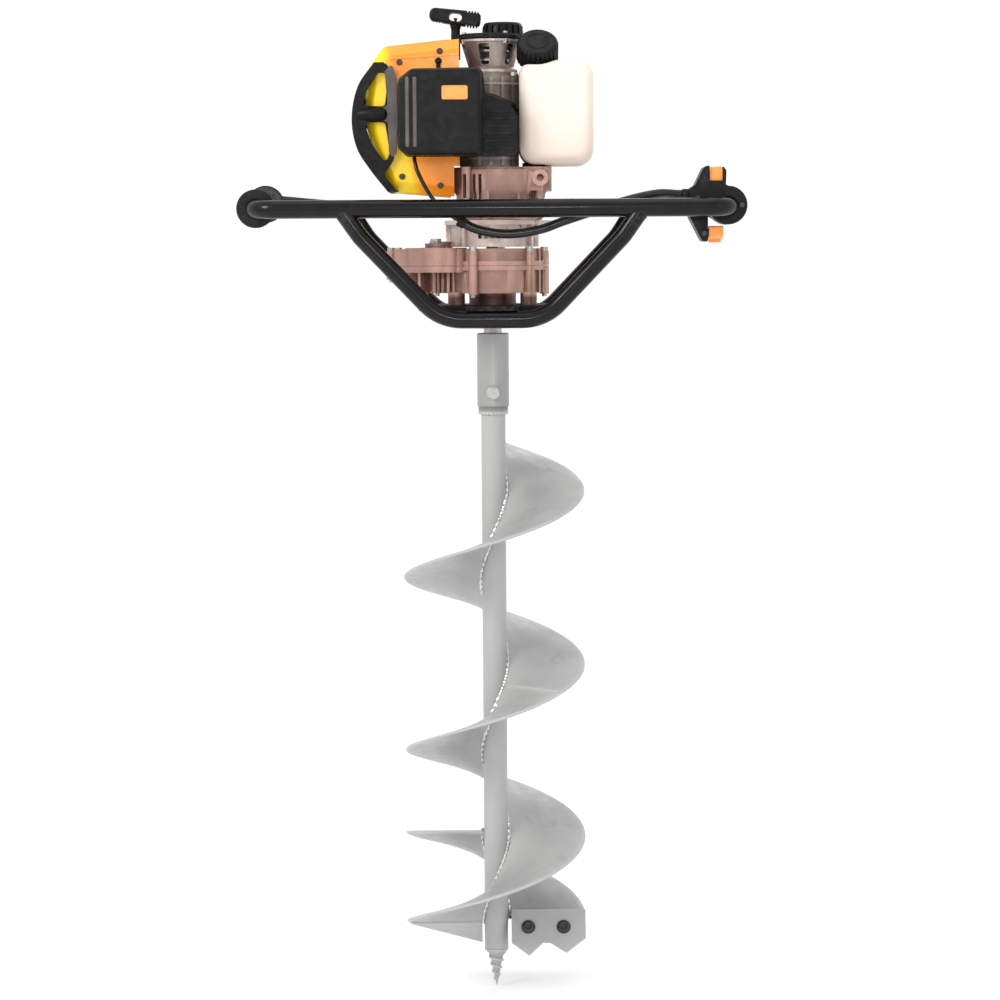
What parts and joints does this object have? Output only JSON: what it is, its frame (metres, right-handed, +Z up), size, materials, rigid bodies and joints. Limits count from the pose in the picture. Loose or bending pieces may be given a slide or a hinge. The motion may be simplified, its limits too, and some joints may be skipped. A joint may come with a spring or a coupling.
{
  "type": "petrol ice auger",
  "caption": "Hand-held petrol ice auger: engine and gearbox in a tube handle frame turning a spiral drill with a toothed cutter.",
  "frame": {"origin": "on the drill's axis, level with the centre of the front handle tube", "axes": "+Z up along the drill's axis, +X towards the throttle grip, -Y towards the front with the air filter"},
  "size_m": [0.556, 0.216, 1.0999],
  "materials": {
    "black_paint": "gloss powder coat",
    "drill_paint": "light grey, satin",
    "case_aluminium": "die cast, warm tint",
    "bright_aluminium": "die cast",
    "steel": "zinc plated or ground",
    "iron": "as cast",
    "rubber": "matte",
    "black_plastic": "fine grain",
    "yellow_plastic": "gloss",
    "orange_plastic": "satin",
    "tank_plastic": "translucent",
    "ceramic": "glazed",
    "cord": "braided"
  },
  "bodies": {
    "powerhead": {"front_tube": "black_paint", "rear_tube": "black_paint", "left_grip": "rubber", "right_grip": "rubber", "front_vee_frame": "black_paint", "rear_vee_frame": "black_paint", "mounting_plate": "black_paint", "gearbox_lower_case": "case_aluminium", "gearbox_upper_case": "case_aluminium", "output_bearing": "steel", "clutch_housing": "case_aluminium", "fan_case": "case_aluminium", "crankcase": "bright_aluminium", "cylinder": "bright_aluminium", "ignition_coil": "black_plastic", "engine_shroud": "yellow_plastic", "cylinder_guard": "black_plastic", "spark_plug": "ceramic", "plug_boot": "rubber", "carburettor": "bright_aluminium", "air_filter_base": "black_plastic", "air_filter_cover": "black_plastic", "muffler": "steel", "fuel_tank": "tank_plastic", "fuel_line": "rubber", "starter_base": "bright_aluminium", "starter_cover": "black_plastic", "recoil_spring": "steel", "starter_rope": "cord", "throttle_housing": "black_plastic", "throttle_cable": "rubber", "throttle_conduit": "rubber"},
    "drill": {"output_gear": "steel", "output_shaft": "steel", "auger_sleeve": "drill_paint", "coupling_bolt": "steel", "auger_tube": "drill_paint", "upper_flight": "drill_paint", "lower_flight": "drill_paint", "second_flight": "drill_paint", "toothed_cutter": "drill_paint", "cutter_bolt_1": "steel", "cutter_bolt_2": "steel", "side_knife": "drill_paint", "pilot_point": "drill_paint"},
    "layshaft": {"layshaft": "steel"},
    "drum": {"clutch_drum": "steel"},
    "crank": {"crankshaft": "steel", "flywheel": "bright_aluminium"},
    "shoe_front": {"clutch_shoe_front": "iron"},
    "shoe_rear": {"clutch_shoe_rear": "iron"},
    "piston": {"piston": "bright_aluminium"},
    "pull_handle": {"starter_handle": "black_plastic"},
    "pulley": {"starter_pulley": "bright_aluminium"},
    "trigger": {"throttle_trigger": "orange_plastic"},
    "lockout": {"throttle_lockout": "orange_plastic"},
    "switch": {"stop_switch": "orange_plastic"},
    "choke": {"choke_lever": "black_plastic"},
    "carb_lever": {"carburettor_lever": "steel"},
    "cap": {"fuel_cap": "black_plastic"}
  },
  "joints": [
    {"name": "drill_spin", "type": "hinge", "parent": "powerhead", "child": "drill", "pos_m": [0, 0, 0], "axis": [0, 0, 1], "continuous": true},
    {"name": "layshaft_spin", "type": "hinge", "parent": "powerhead", "child": "layshaft", "pos_m": [-0.057, 0, -0.07], "axis": [0, 0, 1], "continuous": true},
    {"name": "drum_spin", "type": "hinge", "parent": "powerhead", "child": "drum", "pos_m": [0, 0, -0.03], "axis": [0, 0, 1], "continuous": true},
    {"name": "crank_spin", "type": "hinge", "parent": "powerhead", "child": "crank", "pos_m": [0, 0, 0.106], "axis": [0, 0, 1], "continuous": true},
    {"name": "shoe_front_swing", "type": "slide", "parent": "crank", "child": "shoe_front", "axis": [0, -1, 0], "range_m": [0, 0.001], "stiffness_N_per_m": 20000},
    {"name": "shoe_rear_swing", "type": "slide", "parent": "crank", "child": "shoe_rear", "axis": [0, 1, 0], "range_m": [0, 0.001], "stiffness_N_per_m": 20000},
    {"name": "piston_stroke", "type": "slide", "parent": "powerhead", "child": "piston", "axis": [1, 0, 0], "range_m": [0, 0.034]},
    {"name": "starter_pull", "type": "slide", "parent": "powerhead", "child": "pull_handle", "axis": [0, 0, 1], "range_m": [0, 0.7], "stiffness_N_per_m": 15, "springref_m": -0.5, "deforming": ["starter_rope"]},
    {"name": "pulley_spin", "type": "hinge", "parent": "powerhead", "child": "pulley", "pos_m": [0, 0, 0.169], "axis": [0, 0, 1], "range_deg": [-2680, 0]},
    {"name": "trigger_pull", "type": "hinge", "parent": "powerhead", "child": "trigger", "pos_m": [0.244, -0.066, -0.022], "axis": [1, 0, 0], "range_deg": [0, 12], "stiffness_Nm_per_rad": 0.6, "springref_deg": -17.19},
    {"name": "lockout_press", "type": "hinge", "parent": "powerhead", "child": "lockout", "pos_m": [0.244, -0.066, 0.03], "axis": [-1, 0, 0], "range_deg": [0, 7], "stiffness_Nm_per_rad": 0.6, "springref_deg": -17.19},
    {"name": "stop_switch_slide", "type": "slide", "parent": "powerhead", "child": "switch", "axis": [0, 1, 0], "range_m": [0, 0.004]},
    {"name": "choke_turn", "type": "hinge", "parent": "powerhead", "child": "choke", "pos_m": [-0.057, -0.061, 0.138], "axis": [0, -1, 0], "range_deg": [0, 55]},
    {"name": "carb_lever_turn", "type": "hinge", "parent": "powerhead", "child": "carb_lever", "pos_m": [-0.068, -0.051, 0.127], "axis": [0, 0, 1], "range_deg": [0, 70]},
    {"name": "fuel_cap_turn", "type": "hinge", "parent": "powerhead", "child": "cap", "pos_m": [0.051, -0.03, 0.173], "axis": [0, -0.7071, 0.7071], "range_deg": [0, 540]}
  ],
  "couplings": [
    {"joint": "layshaft_spin", "follows": "drill_spin", "ratio": -5.3333},
    {"joint": "drum_spin", "follows": "drill_spin", "ratio": 28.444},
    {"joint": "pulley_spin", "follows": "starter_pull", "rad_per_m": -66.667},
    {"joint": "carb_lever_turn", "follows": "trigger_pull", "ratio": 5.8333}
  ]
}
